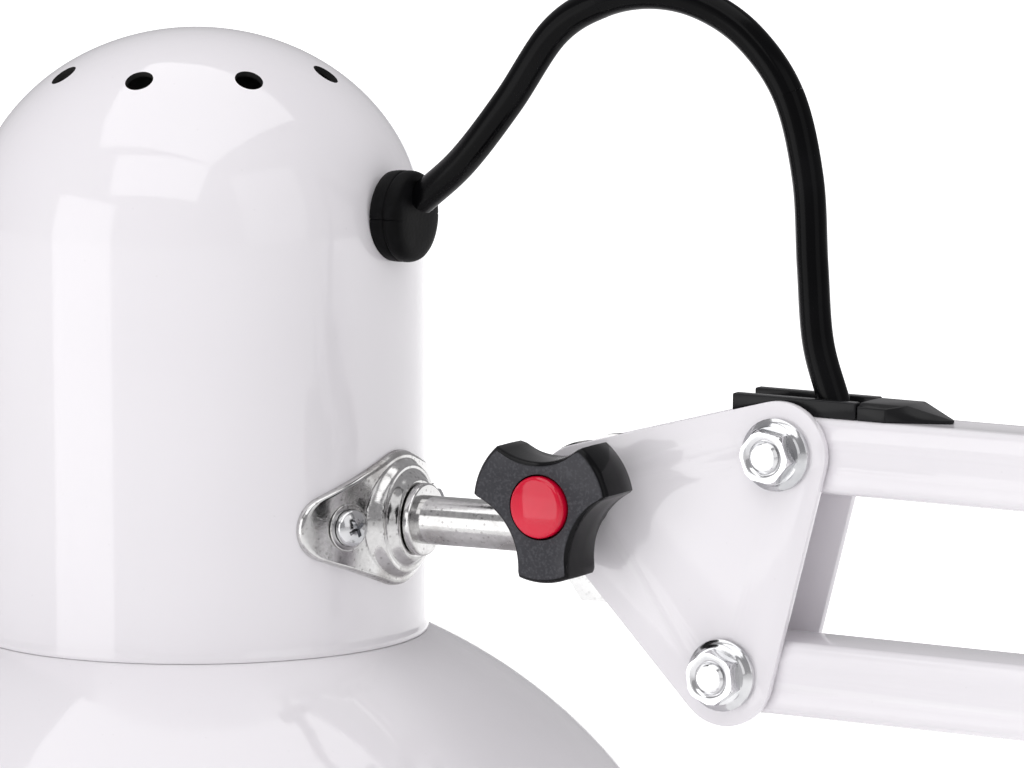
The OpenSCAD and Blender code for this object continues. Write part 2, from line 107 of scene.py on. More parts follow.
def on_shade(height=0.0):
    return Matrix.Translation((neck_x, 0, knob_at[1] + height))

def out_of_shade(height, turn=0.0):
    return on_shade(height) @ Matrix.Rotation(turn, 4, "Z") @ Matrix.Rotation(math.pi / 2, 4, "Y")

print("shade axis frame at", [round(v, 4) for v in on_shade().translation])

# %% [markdown]
# ## Building a piece
# Every piece ends the same way: points in millimetres become a mesh, close points are joined,
# the faces are turned outwards, and edges sharper than a set angle stay crisp. One function does
# it, so no piece can forget a step. It also notes the body that the piece moves with, hides the
# frame parts that it stands for, and prints how many faces it has.

# %% Build a piece
def build(name, parts, finish, body, stands_for=(), place=None, crisp=38, turn_out=True):
    work = bmesh.new()
    for points, faces in parts:
        made = [work.verts.new(p) for p in points]
        for face in faces:
            if len(set(face)) > 2:
                work.faces.new([made[i] for i in face])
    bmesh.ops.remove_doubles(work, verts=work.verts, dist=0.002)
    if turn_out:
        bmesh.ops.recalc_face_normals(work, faces=work.faces)
    mesh = bpy.data.meshes.new(name)
    work.to_mesh(mesh)
    work.free()
    mesh.transform(Matrix.Scale(mm, 4) @ (place or Matrix.Identity(4)))
    mesh.shade_smooth()
    mesh.set_sharp_from_angle(angle=math.radians(crisp))
    piece = bpy.data.objects.new(name, mesh)
    bpy.context.scene.collection.objects.link(piece)
    if finish:
        mesh.materials.append(finish)
        print(f"{name}: {len(mesh.polygons)} faces")
    if body:
        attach(piece, body)
    if stands_for:
        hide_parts(*stands_for)
    return piece

# %% [markdown]
# ## Turned and swept shapes
# A turned piece is one outline spun round an axis, so a lathe function makes bolts, caps, collars
# and the shade. Letting the radius depend on the angle too gives hexagons and lobes. A cord is a
# ring carried along a line; carrying the ring's own frame forward stops it twisting.

# %% Lathe
def lathe(outline, steps=64, radius=None, closed=False):
    points, faces, rings = [], [], len(outline)
    for i in range(steps):
        a = 2 * math.pi * i / steps
        for r, z in outline:
            q = radius(r, z, a) if radius else r
            points.append((q * math.cos(a), q * math.sin(a), z))
    last = rings if closed else rings - 1
    for i in range(steps):
        j = (i + 1) % steps
        for k in range(last):
            n = (k + 1) % rings
            faces.append((i * rings + k, j * rings + k, j * rings + n, i * rings + n))
    return points, faces

def rounded(corners, radius, steps=4):
    """An open outline with its inner corners rounded."""
    out = [corners[0]]
    for before, here, after in zip(corners, corners[1:], corners[2:]):
        p, c, n = map(np.array, (before, here, after))
        u, v = (p - c), (n - c)
        r = min(radius, 0.49 * np.linalg.norm(u), 0.49 * np.linalg.norm(v))
        s, e = c + u / np.linalg.norm(u) * r, c + v / np.linalg.norm(v) * r
        for t in np.linspace(0, 1, steps + 1):
            out.append(tuple((1 - t) ** 2 * s + 2 * t * (1 - t) * c + t * t * e))
    return out + [corners[-1]]

# %% Smooth line through points
def smooth_line(points, step=1.0):
    p = np.array(points, float)
    p = np.vstack([2 * p[0] - p[1], p, 2 * p[-1] - p[-2]])
    out = []
    for a, b, c, d in zip(p, p[1:], p[2:], p[3:]):
        count = max(2, int(round(np.linalg.norm(c - b) / step)))
        for t in np.arange(count) / count:
            out.append(0.5 * (2 * b + (c - a) * t + (2 * a - 5 * b + 4 * c - d) * t * t
                              + (3 * b - a - 3 * c + d) * t ** 3))
    return np.array(out + [p[-2]])

def line_length(line):
    return float(np.linalg.norm(np.diff(line, axis=0), axis=1).sum())

# %% Sweep a ring along a line
def swept(line, radius, sides=16, ribs=0, rib_depth=0.0, up=(0, 1, 0)):
    line = np.array(line, float)
    along = np.gradient(line, axis=0)
    along /= np.linalg.norm(along, axis=1)[:, None]
    side = np.cross(up, along[0])
    side /= np.linalg.norm(side)
    points, faces = [], []
    for place, t in zip(line, along):
        side = side - t * side.dot(t)
        side /= np.linalg.norm(side)
        other = np.cross(t, side)
        for k in range(sides):
            a = 2 * math.pi * k / sides
            r = radius + rib_depth * (0.5 + 0.5 * math.cos(ribs * a)) ** 4 if ribs else radius
            points.append(tuple(place + r * (math.cos(a) * side + math.sin(a) * other)))
    for i in range(len(line) - 1):
        for k in range(sides):
            n = (k + 1) % sides
            faces.append((i * sides + k, i * sides + n, (i + 1) * sides + n, (i + 1) * sides + k))
    base = (len(line) - 1) * sides
    faces += [tuple(range(sides))[::-1], tuple(base + k for k in range(sides))]
    return points, faces

# %% [markdown]
# ## Rounding the pressed and cut pieces
# Sheet metal leaves the press with its edges slightly rolled, and a square tube has soft corners.
# The frame's own solid already has the right outline, so the rounded piece starts as a copy of
# its mesh, gets its flat triangles joined, and takes a narrow bevel. Drawing each outline again
# would only add a chance to be wrong.

# %% Soften the edges of a frame part
def softened(name, node, finish, width=0.25, segments=2, angle=32):
    body = frame["nodes"][node]["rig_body"]
    work = bmesh.new()
    work.from_mesh(frame["nodes"][node].data)
    bmesh.ops.remove_doubles(work, verts=work.verts, dist=1e-5)
    bmesh.ops.dissolve_limit(work, angle_limit=math.radians(0.6), verts=work.verts,
                             edges=work.edges)
    bmesh.ops.recalc_face_normals(work, faces=work.faces)
    mesh = bpy.data.meshes.new(name)
    work.to_mesh(mesh)
    work.free()
    mesh.shade_smooth()
    piece = bpy.data.objects.new(name, mesh)
    bpy.context.scene.collection.objects.link(piece)
    bevel = piece.modifiers.new("rolled edge", "BEVEL")
    bevel.width, bevel.segments, bevel.limit_method = width * mm, segments, "ANGLE"
    bevel.angle_limit, bevel.use_clamp_overlap = math.radians(angle), True
    bevel.harden_normals = True
    mesh.materials.clear()
    mesh.materials.append(finish)
    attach(piece, body)
    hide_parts(node)
    print(f"{name}: {len(mesh.polygons)} faces before the edges are rolled")
    return piece

# %% [markdown]
# ## Camera
# The camera stands to the right of the knob and a little above it, with a long lens, so the head
# nearly fills the view. It aims at the knob's bolt, and a small shift puts that bolt low and to
# the right of the middle. A long lens keeps the tubes almost parallel.

# %% Camera
around, above, away = math.radians(28), math.radians(8), 1.047
aim = Vector((knob_at[0] * mm, 0, knob_at[1] * mm))
back = Vector((math.sin(around) * math.cos(above), -math.cos(around) * math.cos(above),
               math.sin(above)))
lens = bpy.data.cameras.new("camera")
lens.lens, lens.sensor_width = 227.8, 36
lens.shift_x, lens.shift_y = -0.0900, 0.1039
lens.clip_start, lens.clip_end = 0.05, 200
camera = bpy.data.objects.new("camera", lens)
camera.location = aim + back * away
camera.rotation_mode = "QUATERNION"
camera.rotation_quaternion = (-back).to_track_quat("-Z", "Y")
bpy.context.scene.collection.objects.link(camera)
bpy.context.scene.camera = camera
print("camera at", [round(v, 4) for v in camera.location])

# %% [markdown]
# ## Writing finishes as arithmetic
# A finish is a small drawing of how a surface varies. Nodes can be joined one by one, but the
# sums are easier to read as ordinary Python, so a tone stands for a socket and its operators add
# the Math nodes. Every other node comes from one method, which sets its settings first. A finish
# is done when its last sockets are fed, and then it prints how many nodes it took.

# %% Tones and finishes
class Tone:
    """A number or colour that varies over a surface."""
    def __init__(self, finish, socket):
        self.finish, self.socket = finish, socket

    def math(self, operation, a, b=0.0):
        return self.finish.node("ShaderNodeMath", {"operation": operation}, {0: a, 1: b})

    def __add__(self, other): return self.math("ADD", self, other)
    def __radd__(self, other): return self.math("ADD", other, self)
    def __sub__(self, other): return self.math("SUBTRACT", self, other)
    def __rsub__(self, other): return self.math("SUBTRACT", other, self)
    def __mul__(self, other): return self.math("MULTIPLY", self, other)
    def __rmul__(self, other): return self.math("MULTIPLY", other, self)
    def __pow__(self, other): return self.math("POWER", self, other)

    def rise(self, low, high):
        """0 below low, 1 above high, and a soft step between them."""
        return self.finish.node("ShaderNodeMapRange", {"interpolation_type": "SMOOTHSTEP"},
                                {"Value": self, "From Min": low, "From Max": high})


class Finish:
    """One material, with its shader's fixed values given by name."""
    def __init__(self, name, **fixed):
        self.material = bpy.data.materials.new(name)
        self.material.use_nodes = True
        self.tree = self.material.node_tree
        self.shader = self.tree.nodes["Principled BSDF"]
        self.set_sockets(fixed)

    def join(self, socket, value):
        if isinstance(value, Tone):
            self.tree.links.new(value.socket, socket)
        elif socket.type == "RGBA" and len(value) == 3:
            socket.default_value = (*value, 1)
        else:
            socket.default_value = value

    def node(self, kind, settings={}, sockets={}, out=0):
        made = self.tree.nodes.new(kind)
        for name, value in settings.items():
            setattr(made, name, value)
        for name, value in sockets.items():
            self.join(made.inputs[name], value)
        return Tone(self, made.outputs[out])

    def set_sockets(self, sockets):
        for name, value in sockets.items():
            self.join(self.shader.inputs[name.replace("_", " ")], value)

    def feed(self, **sockets):
        self.set_sockets(sockets)
        print(f"{self.material.name}: {len(self.tree.nodes)} nodes")
        return self.material

    def at(self, stretch=(1, 1, 1)):
        place = self.node("ShaderNodeTexCoord", out="Object")
        return self.node("ShaderNodeVectorMath", {"operation": "MULTIPLY"},
                         {0: place, 1: stretch})

    def facing(self, direction):
        """How squarely the surface looks along a direction of the piece."""
        normal = self.node("ShaderNodeTexCoord", out="Normal")
        return self.node("ShaderNodeVectorMath", {"operation": "DOT_PRODUCT"},
                         {0: normal, 1: direction}, out="Value")

    def cloud(self, scale, detail=3.0, stretch=(1, 1, 1)):
        return self.node("ShaderNodeTexNoise", {},
                         {"Vector": self.at(stretch), "Scale": scale, "Detail": detail})

    def grains(self, scale, stretch=(1, 1, 1)):
        return self.node("ShaderNodeTexVoronoi", {},
                         {"Vector": self.at(stretch), "Scale": scale})

    def edges(self):
        """Near 1 on outer edges: where hands and tools rub, and on the white enamel a painted
        highlight.
        """
        return self.node("ShaderNodeNewGeometry", out="Pointiness").rise(0.53, 0.62)

    def mix(self, mask, first, second):
        return self.node("ShaderNodeMix", {"data_type": "RGBA"},
                         {0: mask, 6: first, 7: second}, out=2)

    def relief(self, height, depth, strength=1.0):
        return self.node("ShaderNodeBump", {},
                         {"Height": height, "Distance": depth * mm, "Strength": strength})

# %% [markdown]
# ## White enamel
# Stoved enamel is a thick glossy paint: very even, with a faint waviness like orange peel, a few
# dust nibs under the gloss and a slightly cool white. Wide clouds shift the white a little, small
# cells make the nibs, and a clear coat over the paint gives the deep shine.

# %% White enamel
paint = Finish("white_enamel", Coat_Roughness=0.04, Coat_IOR=1.5, IOR=1.5)
wide, peel = paint.cloud(14, 2), paint.cloud(520, 2)
nibs = 1 - paint.grains(260).rise(0.02, 0.06)
white = paint.mix(wide.rise(0.35, 0.7), (0.832, 0.806, 0.838), (0.868, 0.844, 0.872))
white = paint.mix(nibs * 0.10, white, (0.45, 0.44, 0.44))
# Outer edges are lightened a little: a painted highlight along the edges of the enamel.
white = paint.mix(paint.edges() * 0.25, white, (0.90, 0.895, 0.90))
enamel = paint.feed(Base_Color=white, Roughness=0.05 + 0.05 * wide, Coat_Weight=0.12 + 0.2 * wide,
                    Normal=paint.relief(peel + 0.25 * nibs, 0.012))

# %% [markdown]
# ## Zinc and chrome fittings
# The flange, rod and yoke are plated steel. Plating shows fine grain, dull patches where fingers
# have been, and brown-grey stains. The stains here are clouds with a hard-ish edge, which dull the
# shine as well as the colour. The nuts are newer and brighter, with turning marks.

# %% Plated fittings
plate = Finish("chrome_fitting", Metallic=1.0)
patch, grain = plate.cloud(85, 5), plate.cloud(1500, 3)
speck = 1 - plate.grains(900).rise(0.08, 0.30)
stain = patch.rise(0.50, 0.66)
steel = plate.mix(grain, (0.50, 0.495, 0.49), (0.72, 0.715, 0.71))
steel = plate.mix(stain * 0.5, steel, (0.24, 0.22, 0.205))
steel = plate.mix(speck * 0.45, steel, (0.14, 0.13, 0.125))
steel = plate.mix(plate.edges() * 0.5, steel, (0.88, 0.88, 0.88))
plating = plate.feed(Base_Color=steel, Roughness=0.10 + 0.16 * stain + 0.08 * grain,
                     Normal=plate.relief(grain + 0.6 * speck, 0.006))

# %% Bright nuts and bolts
bright = Finish("zinc_fastener", Metallic=1.0)
mark, haze = bright.cloud(900, 3, (1, 0.08, 1)), bright.cloud(160, 3)
zinc = bright.mix(haze.rise(0.4, 0.7), (0.72, 0.72, 0.73), (0.52, 0.525, 0.54))
zinc = bright.mix(bright.edges() * 0.5, zinc, (0.95, 0.95, 0.95))
bright_zinc = bright.feed(Base_Color=zinc, Roughness=0.07 + 0.08 * mark + 0.05 * haze,
                          Normal=bright.relief(mark, 0.006))

# %% Spring steel
wire = Finish("spring_steel", Metallic=1.0)
drawn, oil = wire.cloud(1300, 2), wire.cloud(120, 4)
spring_steel = wire.feed(
    Base_Color=wire.mix(oil.rise(0.4, 0.7), (0.62, 0.62, 0.64), (0.36, 0.35, 0.35)),
    Roughness=0.20 + 0.14 * oil, Normal=wire.relief(drawn, 0.004))

# %% [markdown]
# ## Cord, plastics and rubber
# Most of these are black, and only gloss and texture tell them apart. The cord's PVC is shiny
# with a soft haze. Moulded knobs carry a fine spark texture on the face and are polished at the
# side, which a mask made from the facing direction separates. Rubber is dull and dusty. The red
# cap and the white rocker are clear, even colours with a faint swirl from the mould.

# %% Cord sheath
sheath = Finish("black_cord", IOR=1.5, Specular_IOR_Level=0.09)
bloom, pull = sheath.cloud(45, 4), sheath.cloud(700, 2)
black = sheath.mix(bloom.rise(0.45, 0.75), (0.0018, 0.0018, 0.0021), (0.005, 0.005, 0.0057))
cord_sheath = sheath.feed(Base_Color=black, Roughness=0.13 + 0.10 * bloom,
                          Normal=sheath.relief(pull, 0.010))

# %% Glossy black plastic
moulded = Finish("black_plastic", IOR=1.5, Specular_IOR_Level=0.2)
flow, dust = moulded.cloud(60, 4), moulded.cloud(1400, 2)
black_plastic = moulded.feed(
    Base_Color=moulded.mix(moulded.edges() * 0.5 + 0.2 * flow, (0.006, 0.006, 0.0065),
                           (0.026, 0.026, 0.028)),
    Roughness=0.14 + 0.12 * flow, Normal=moulded.relief(dust, 0.008))

# %% Knob plastic
lobes = Finish("knob_plastic", IOR=1.5, Specular_IOR_Level=0.13)
front = lobes.facing((0, -1, 0)).rise(0.80, 0.96)
spark, worn = lobes.cloud(2600, 2), lobes.cloud(120, 4)
face = lobes.mix(worn.rise(0.4, 0.7), (0.044, 0.044, 0.050), (0.060, 0.060, 0.066))
face = lobes.mix(spark.rise(0.45, 0.7) * 0.5, face, (0.095, 0.095, 0.105))
knob_plastic = lobes.feed(Base_Color=lobes.mix(front, (0.003, 0.003, 0.0036), face),
                          Roughness=0.12 + 0.38 * front + 0.06 * worn,
                          Normal=lobes.relief(spark * front, 0.020))

# %% Red cap
ruby = Finish("red_plastic", IOR=1.5, Specular_IOR_Level=0.4, Coat_Roughness=0.03)
pool, swirl = ruby.cloud(70, 3), ruby.cloud(900, 2)
red_plastic = ruby.feed(
    Base_Color=ruby.mix(pool.rise(0.35, 0.7), (0.70, 0.003, 0.034), (0.58, 0.002, 0.026)),
    Roughness=0.06 + 0.05 * pool, Coat_Weight=0.15 + 0.2 * pool, Normal=ruby.relief(swirl, 0.003))

# %% Rubber
soft = Finish("black_rubber", IOR=1.45, Specular_IOR_Level=0.08)
powder, pores = soft.cloud(240, 5), soft.grains(1500)
black_rubber = soft.feed(
    Base_Color=soft.mix(powder.rise(0.45, 0.8), (0.0025, 0.0025, 0.0028), (0.008, 0.008, 0.009)),
    Roughness=0.42 + 0.2 * powder, Normal=soft.relief(pores, 0.015))

# %% White switch plastic
rocker_plastic = Finish("white_plastic", IOR=1.5)
tan, fine = rocker_plastic.cloud(90, 3), rocker_plastic.cloud(1800, 2)
white_plastic = rocker_plastic.feed(
    Base_Color=rocker_plastic.mix(tan, (0.80, 0.79, 0.75), (0.72, 0.70, 0.65)),
    Roughness=0.28 + 0.12 * tan, Normal=rocker_plastic.relief(fine, 0.006))

# %% [markdown]
# ## Metal and glass inside the shade
# The holder's thread and the plug's pins are brass, dulled to brown in places. The lamp cap is
# rolled aluminium. The bulb is opal glass: milky, so it is drawn as a bright smooth surface with
# faint mottling and not as clear glass. The weight in the base is rough grey iron. The inside
# of the neck is coloured dull dark grey, a painted shade for the shadow inside it, which makes the
# vent holes read as dark.

# %% Painted shade inside the neck
# Painted shade: the dark colour on the inside of the neck stands in for the shadow there.
neck_shade = Finish("neck_inside_painted_shade", IOR=1.45)
streak = neck_shade.cloud(150, 5)
neck_inside_painted_shade = neck_shade.feed(
    Base_Color=neck_shade.mix(streak.rise(0.4, 0.7), (0.012, 0.012, 0.013), (0.03, 0.028, 0.027)),
    Roughness=0.7 + 0.15 * streak, Normal=neck_shade.relief(streak, 0.03))

# %% Brass, cap, glass and iron
gold = Finish("brass_part", Metallic=1.0)
tarnish, lathe_mark = gold.cloud(110, 5), gold.cloud(1200, 2)
brass = gold.feed(
    Base_Color=gold.mix(tarnish.rise(0.4, 0.7), (0.83, 0.62, 0.30), (0.46, 0.30, 0.13)),
    Roughness=0.18 + 0.22 * tarnish, Normal=gold.relief(lathe_mark, 0.006))
rolled = Finish("cap_metal", Metallic=1.0)
dull = rolled.cloud(160, 4)
cap_metal = rolled.feed(Base_Color=rolled.mix(dull, (0.82, 0.82, 0.83), (0.55, 0.55, 0.57)),
                        Roughness=0.22 + 0.18 * dull, Normal=rolled.relief(dull, 0.008))
opal = Finish("bulb_glass", IOR=1.5, Coat_Roughness=0.02)
milk = opal.cloud(60, 3)
opal_glass = opal.feed(Base_Color=opal.mix(milk, (0.90, 0.89, 0.86), (0.84, 0.83, 0.80)),
                       Roughness=0.22 + 0.1 * milk, Coat_Weight=0.8 + 0.1 * milk,
                       Normal=opal.relief(milk, 0.02))
cast = Finish("base_iron", Metallic=1.0)
sand, rust = cast.cloud(420, 6), cast.cloud(60, 5)
base_iron = cast.feed(
    Base_Color=cast.mix(rust.rise(0.5, 0.7), (0.20, 0.20, 0.205), (0.22, 0.12, 0.07)),
    Roughness=0.55 + 0.25 * sand, Normal=cast.relief(sand, 0.12))
print(len(bpy.data.materials), "finishes made")

# %% [markdown]
# ## Mains lead
# The lead is 1.8 m of round 5.2 mm PVC cord. It comes straight out of the base, drops to the
# table, runs through the hand switch, and the spare length is wound into a coil of about eight
# turns with a tie round it. Each turn slides to its next place over a long stretch, a little
# before the turn below it does, so no bend is tight and no turn passes through another. The end
# crosses over the top of the coil to the plug. The whole lead is one line, because a real one
# has no joins.

# %% Route of the mains lead
cord_d = 5.2
lead_near = [[117, 0, 9.6], [130, 0.5, 7.6], [143, 3.5, 4.4], [155, 10, 2.8], [165, 20, 2.7],
             [172, 33, 3.4], [174.5, 46, 6.4], [175, 59, 8.4], [175, 74, 8.6], [175, 89, 8.6],
             [175, 104, 8.6]]
lead_mid = [[175, 119, 8.4], [174.5, 132, 6.2], [171, 148, 3], [162, 164, 2.7],
            [148, 177, 2.7], [131, 184, 2.7], [113, 186.6, 2.7]]
lead_end = [[79, 191.5, 14.6], [64, 194.6, 8.2], [50, 199, 4], [36, 203.4, 4.4],
            [25, 204.4, 6.6], [12, 204, 7.8]]
coil_at = (95.0, 152.0)
places = [(34.4, 2.7), (29, 2.7), (23.6, 2.7), (23.6, 8.0), (29, 8.0), (34.4, 8.0),
          (34.4, 13.3), (29, 13.3), (23.6, 13.3)]
starts, slide, wound = [225, 585, 905, 1225, 1585, 1905, 2225, 2585], 140.0, 2776

def coil_line(step=15.0):
    out = []
    for a in np.arange(0, wound, step):
        place = np.array(places[0])
        for start, old, new in zip(starts, places, places[1:]):
            t = min(max((a - start) / slide, 0), 1)
            place = place + (np.array(new) - np.array(old)) * (0.5 - 0.5 * math.cos(math.pi * t))
        turn = math.radians(90 + a)
        out.append([coil_at[0] + place[0] * math.cos(turn),
                    coil_at[1] + place[0] * math.sin(turn), place[1]])
    return out

over = [[coil_at[0] + r * math.cos(math.radians(a)), coil_at[1] + r * math.sin(math.radians(a)), z]
        for a, r, z in ((0, 23.7, 13.7), (15, 23.8, 14.6), (30, 24.2, 15.9), (45, 25.2, 17.2),
                        (60, 27.2, 18.3), (75, 30.2, 18.9), (90, 34.4, 18.6))]
mains_line = smooth_line(lead_near + lead_mid + coil_line() + over + lead_end, 1.3)
print("mains lead is", round(line_length(mains_line)), "mm long")

# %% Make a cord
def cord_piece(name, line, body=None, stands_for=(), sides=32):
    return build(name, [swept(line, cord_d / 2 - 0.05, sides, 6, 0.07, (0, 0.3, 1))], cord_sheath,
                 body, stands_for, crisp=50, turn_out=False)

mains_lead = cord_piece("mains_lead", mains_line, "base",
                        ("mains_lead_near", "mains_lead_mid", "mains_lead_end", "mains_coil"), 18)

# %% [markdown]
# ## Cord along the arms
# The cord runs inside the square tubes and comes out at each joint in a slack loop, long enough
# for the joint to bend. Each loop is listed with the bodies on either side of its joint, but it is
# built as a fixed piece that follows neither. The two big loops cross more than one joint and are
# cut where they turn. The head's loop leans a little to the back on one side and to the front on
# the other, as a hanging cord does, which sets its two legs apart sideways.

# %% Loops at the joints
head_loop = [[-34, 0, 45.6], [-26, 0, 52.4], [-17.5, 0, 62.5], [-9, 0, 74], [-0.5, 0, 79],
             [8.5, 0, 80.6], [17.5, 0, 79], [26, 0, 74], [33, 0, 65], [36.5, 0, 52],
             [37.4, 0, 38], [38.4, 0, 26], [41.4, 0, 16.4]]
elbow_loop = [[-6.4, 0, 8], [-8.5, 0, 20], [-6, 0, 34], [3, 0, 46], [18, 0, 53],
              [35, 0, 51], [49, 0, 40], [57, 0, 23], [60, 0, 2], [60, 0, -22], [58, 0, -46],
              [54, 0, -68], [47, 0, -87], [36, 0, -100], [21, 0, -105.5], [5.2, 0, -102.4]]
base_loop = [[41.6, 0, 100.6], [56, 0, 92], [66, 0, 79], [68, 0, 64], [60, 0, 50],
             [47, 0, 41.5], [33, 0, 38.5], [18.6, 0, 38]]

def shifted(points, pivot):
    return np.array(points, float) + [pivot[0], 0, pivot[1]]

def whole_and_cuts(points, cuts):
    """One smooth line, then the same line cut at some of its points, so the cuts meet exactly."""
    whole = smooth_line(points, 0.8)
    marks = [int(np.argmin(np.linalg.norm(whole - points[c], axis=1))) for c in cuts]
    return [whole[a:b + 1] for a, b in zip(marks, marks[1:])]

def loop_cord(name, line, stands_for):
    piece = cord_piece(name, line, stands_for=(stands_for,))
    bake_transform(piece)

head_points, elbow_points = shifted(head_loop, knob_at), shifted(elbow_loop, elbow_top)
lean_out = np.array([0, -1.5, -2.7, -2.75, -2.2, -0.9, 0.9, 2.2, 2.75, 2.75, 1.7, 0.6, 0])
head_points = head_points + np.outer(lean_out, [-math.tan(around), 1, 0])
for name, node, line, first, second in zip(
        ("head_cord_at_shade", "head_cord_at_yoke", "head_cord_at_arm"),
        ("head_cord_shade", "head_cord_mid", "head_cord_arm"),
        whole_and_cuts(head_points, (0, 4, 8, 12)),
        ("shade", "yoke", "head_plates"), ("yoke", "head_plates", "upper_top_arm")):
    loop_cord(name, line, node)
for name, node, line, first, second in zip(
        ("elbow_cord_top", "elbow_cord_bottom"), ("elbow_cord_upper", "elbow_cord_lower"),
        whole_and_cuts(elbow_points, (0, 7, 15)),
        ("upper_top_arm", "elbow"), ("elbow", "lower_rear_arm")):
    loop_cord(name, line, node)
loop_cord("base_cord", smooth_line(base_loop, 0.8),
          "base_loop_cord")

# %% [markdown]
# ## Plug and hand switch
# Both are moulded shells with generous rounding. A loft does that: the same soft rectangle is
# drawn at several places along the part, narrow at the cord and wide at the middle. The switch
# has a seam line where its halves meet, and a rocker that tips in a slot. A strap of black rubber
# ties the coil.

# %% Loft of soft rectangles
def soft_rectangle(width, height, power=4.0, steps=48):
    out = []
    for i in range(steps):
        c, s = math.cos(2 * math.pi * i / steps), math.sin(2 * math.pi * i / steps)
        out.append((width / 2 * math.copysign(abs(c) ** (2 / power), c),
                    height / 2 * math.copysign(abs(s) ** (2 / power), s)))
    return out

def loft(sections, steps=48):
    """Sections are (position along X, width in Y, height in Z, middle height, power)."""
    points, faces = [], []
    for x, width, height, middle, power in sections:
        points += [(x, u, middle + v) for u, v in soft_rectangle(width, height, power, steps)]
    for i in range(len(sections) - 1):
        for k in range(steps):
            n = (k + 1) % steps
            faces.append((i * steps + k, i * steps + n, (i + 1) * steps + n, (i + 1) * steps + k))
    end = (len(sections) - 1) * steps
    return points, faces + [tuple(range(steps))[::-1], tuple(end + k for k in range(steps))]

# %% Plug
body_sections = [(0.5, 6.4, 6.4, 8, 2), (-1, 8.8, 8.8, 8, 2.2), (-3, 8.4, 8.4, 8, 2.2),
                 (-4.2, 9.6, 9.4, 8, 2.4), (-6, 10, 9.6, 8, 2.4), (-10, 15, 11.4, 8, 2.8),
                 (-15, 22.6, 14.4, 7.8, 3.4), (-20, 25, 15.2, 7.7, 4), (-31, 25.2, 15.4, 7.75, 4),
                 (-33, 24.6, 14.8, 7.75, 4), (-34, 23, 13.2, 7.75, 4)]
plug_y = 204
build("plug_moulding", [loft(body_sections)], black_plastic, "base", ("plug_body",),
      Matrix.Translation((19, plug_y, 0)), crisp=50)
pin = lathe(rounded([(0, 19), (2, 19), (2, 17), (2, 0), (0, 0)], 0.9), 32)
sleeve = lathe(rounded([(2.0, 8), (2.12, 8), (2.12, 0), (2.12, -1)], 0.1), 32)
for side in (-9.5, 9.5):
    which = "left" if side < 0 else "right"
    turned = Matrix.Translation((-15, plug_y + side, 7.8)) \
        @ Matrix.Rotation(-math.pi / 2, 4, "Y")
    build(f"plug_pin_{which}", [pin], brass, "base", ("plug_pins",), turned)
    build(f"pin_sleeve_{which}", [sleeve], black_plastic, "base", place=turned)

# %% Hand switch
long_way = [(-30, 9, 9, 8.3, 2.4), (-29.4, 13, 11.6, 8.2, 2.8), (-27.6, 18.6, 14.4, 8.1, 3.4),
            (-24, 22.4, 15.4, 8.05, 4), (-16, 23.8, 15.8, 8, 4.4), (0, 24, 16, 8, 4.6)]
long_way += [(-x, w, h, m, p) for x, w, h, m, p in long_way[-2::-1]]
switch_place = Matrix.Translation((175, 89, 0)) @ Matrix.Rotation(math.pi / 2, 4, "Z")
case = build("switch_shell", [loft(long_way, 64)], black_plastic, "base", ("switch_case",),
             switch_place, crisp=60)
slot_cut = build("slot_cutter", [loft([(-10.3, 10, 12, 14.5, 9), (10.3, 10, 12, 14.5, 9)])],
                 None, None, place=switch_place)

def carve(piece, cutters, crisp):
    """Cuts shapes out of a piece's mesh, clears them away and marks the sharp edges again."""
    for cutter in cutters:
        cut = piece.modifiers.new("cut", "BOOLEAN")
        cut.object, cut.operation, cut.solver = cutter, "DIFFERENCE", "EXACT"
    bpy.context.view_layer.update()
    ready = bpy.data.meshes.new_from_object(
        piece.evaluated_get(bpy.context.evaluated_depsgraph_get()))
    piece.modifiers.clear()
    piece.data = ready
    for cutter in cutters:
        bpy.data.objects.remove(cutter)
    ready.set_sharp_from_angle(angle=math.radians(crisp))
    print(f"{piece.name}: {len(ready.polygons)} faces after cutting")

carve(case, [slot_cut], 42)
band = [(x * 1.004, w + 0.34, 0.5, 8, 4) for x, w, *_ in long_way]
build("switch_seam", [loft(band, 64)], black_rubber, "base", place=switch_place, crisp=60)
softened("switch_button", "switch_rocker", white_plastic, 0.5, 3, 25)

# %% Coil tie
ring, half_width = 64, 5
strap_points = [(x, w, y) for wide_by, high_by in ((17.8, 16.9), (16.8, 15.9))
                for w in (-half_width, half_width)
                for x, y in soft_rectangle(wide_by, high_by, 7, ring)]
strap_faces = []
for k in range(ring):
    n = (k + 1) % ring
    strap_faces += [(k, n, ring + n, ring + k),
                    (2 * ring + k, 3 * ring + k, 3 * ring + n, 2 * ring + n),
                    (k, 2 * ring + k, 2 * ring + n, n),
                    (ring + k, ring + n, 3 * ring + n, 3 * ring + k)]
tie_place = Matrix.Translation((*coil_at, 0)) @ Matrix.Rotation(math.radians(-60), 4, "Z") \
    @ Matrix.Translation((29, 0, 8.5))
build("tie_strap", [(strap_points, strap_faces)], black_rubber, "base", ("coil_tie",), tie_place)

# %% [markdown]
# ## Base
# A steel cover sits over a heavy iron disc and a rubber pad. Only its rolled rim and its very
# slightly crowned top show. Spinning one outline gives both, and a raised step round the middle
# carries the swivel socket. The gland is soft and ribbed so the lead can't kink where it leaves.

